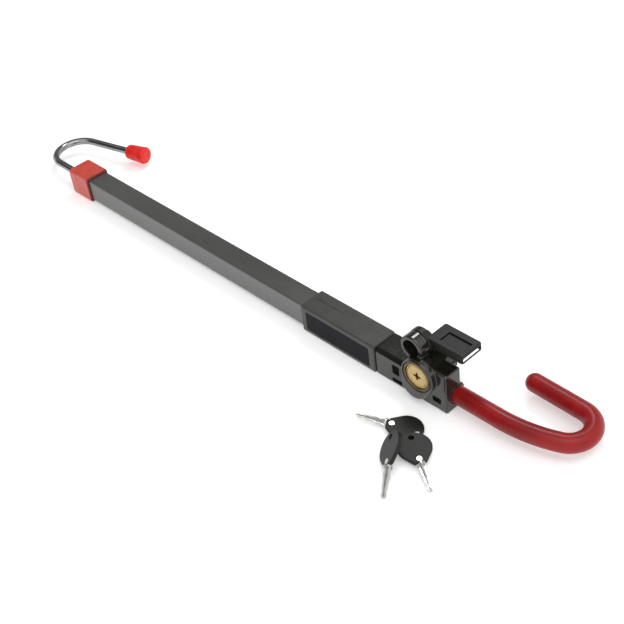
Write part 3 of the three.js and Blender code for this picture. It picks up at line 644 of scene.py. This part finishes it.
def end_cap():
    """The red cap, with painted shade on its mouth where it grips the tube."""
    cap = rounded("pedal_end_cap", 1.0)
    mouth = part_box("pedal_end_cap")[1][0] / MM
    # Painted shade: the mouth's faces that point towards +X are painted dark red.
    recolored(cap, painted_shade_lip(), lambda centre, normal: centre.x > mouth - CAP_LIP and normal.x > 0.5)


def key_plug():
    """The brass plug, with a tarnished keyway."""
    plug = rounded("key_plug", 0.12, 2)
    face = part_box("key_plug")[0][1] / MM

    def in_keyway(centre, normal):
        reach = math.hypot(centre.x - LOCK_AXIS[0], centre.z - LOCK_AXIS[1])
        return centre.y > face + KEYWAY["depth"] and reach < KEYWAY["reach"]

    recolored(plug, keyway_tarnish(), in_keyway)


def lock_body():
    """The head's casting, with painted shade on the insides of the slots in its near face."""
    body = cast("lock_body", 0.4, 5)
    head_face = min(vertex.co.y for vertex in body.data.vertices if vertex.co.x < PLAIN_FACE_END * MM) / MM
    shallow, deep = FACE_SLOT_DEPTHS
    margin = 0.3

    def in_slot(centre, normal):
        return head_face + shallow < centre.y < head_face + deep and any(
            within(centre.x, left, right, margin) and within(centre.z, low, high, margin)
            for left, right, low, high in FACE_SLOTS
        )

    # Painted shade: the slots' walls and floors are painted near-black, where shade falls.
    recolored(body, FINISHES["painted_shade_recess"], in_slot)


def press_lever():
    """The paddle, with painted shade on the walls of its thumb pocket."""
    lever = cast("press_lever", 0.35, 3)
    pocket = THUMB_POCKET
    margin = 0.4
    bottom = pocket["floor"] - 0.2
    wall_slope = 0.75

    def on_pocket_wall(centre, normal):
        along = within(centre.x, pocket["left"], pocket["right"], margin)
        across = within(centre.y, pocket["near"], pocket["far"], margin)
        return along and across and centre.z > bottom and abs(normal.z) < wall_slope

    # Painted shade: the thumb pocket's steep walls are painted near-black, where shade falls.
    recolored(lever, FINISHES["painted_shade_recess"], on_pocket_wall)


def build_pieces():
    for node, radius in EDGE_RADII.items():
        rounded(node, radius)
    lock_body()
    press_lever()
    end_cap()
    key_plug()
    pedal_hook()
    pedal_hook_tip()
    hook_coating()


def paint_inner_nodes():
    """Gives every CAD node its slot's finish, which shows on the inner nodes that no look replaces."""
    for node, slot in SLOT_OF.items():
        materials = frame["nodes"][node].data.materials
        materials.clear()
        materials.append(FINISHES[slot])


# ---------------------------------------------------------------- camera, floor and light


def make_camera():
    data = bpy.data.cameras.new("photo_camera")
    data.sensor_width = CAMERA["sensor"]
    data.lens = CAMERA["lens"]
    camera = bpy.data.objects.new("photo_camera", data)
    camera.location = CAMERA["place"]
    camera.rotation_euler = [math.radians(a) for a in CAMERA["turn"]]
    bpy.context.collection.objects.link(camera)
    bpy.context.scene.camera = camera
    bpy.context.scene.view_settings.view_transform = "Standard"


def softbox(name, location, aim, size, power):
    data = bpy.data.lights.new(name, "AREA")
    data.shape = "RECTANGLE"
    data.size, data.size_y = size
    data.energy = power
    light = bpy.data.objects.new(name, data)
    light.location = location
    light.rotation_euler = (Vector(aim) - Vector(location)).to_track_quat("-Z", "Y").to_euler()
    bpy.context.collection.objects.link(light)


def make_world():
    """A white studio with two dim walls: the top faces mirror one, and the rounded near edges the other."""
    world = bpy.data.worlds.new("studio")
    world.use_nodes = True
    tree = world.node_tree
    direction = tree.nodes.new("ShaderNodeTexCoord").outputs["Generated"]
    strength = tree.nodes.new("ShaderNodeValue").outputs["Value"]
    strength.default_value = STUDIO_BRIGHTNESS
    for wall in DIM_WALLS:
        toward = tree.nodes.new("ShaderNodeVectorMath")
        toward.operation = "DOT_PRODUCT"
        toward.inputs[1].default_value = Vector(wall["toward"]).normalized()
        tree.links.new(direction, toward.inputs[0])
        share = tree.nodes.new("ShaderNodeMapRange")
        share.interpolation_type = "SMOOTHSTEP"
        limits = {
            "From Min": wall["edge"],
            "From Max": wall["core"],
            "To Min": 1,
            "To Max": wall["brightness"],
        }
        for name, value in limits.items():
            share.inputs[name].default_value = value
        tree.links.new(toward.outputs["Value"], share.inputs["Value"])
        product = tree.nodes.new("ShaderNodeMath")
        product.operation = "MULTIPLY"
        tree.links.new(share.outputs["Result"], product.inputs[0])
        tree.links.new(strength, product.inputs[1])
        strength = product.outputs["Value"]
    background = tree.nodes["Background"]
    background.inputs["Color"].default_value = (1, 1, 1, 1)
    tree.links.new(strength, background.inputs["Strength"])
    bpy.context.scene.world = world


def make_floor():
    """Pale studio paper with a slight glow of its own, so the shadows on it stay faint."""
    half = FLOOR["half"]
    mesh = bpy.data.meshes.new("studio_floor")
    corners = [(-half, -half, 0), (half, -half, 0), (half, half, 0), (-half, half, 0)]
    mesh.from_pydata(corners, [], [(0, 1, 2, 3)])
    floor = bpy.data.objects.new("studio_floor", mesh)
    bpy.context.collection.objects.link(floor)
    n = Nodes("studio_paper")
    n.shader.inputs["Emission Color"].default_value = (1, 1, 1, 1)
    paper = n.finish((FLOOR["tone"],) * 3, FLOOR["roughness"], Emission_Strength=FLOOR["glow"])
    mesh.materials.append(paper)


paint_inner_nodes()
build_pieces()
make_camera()
make_world()
make_floor()
for settings in SOFTBOXES:
    softbox(**settings)
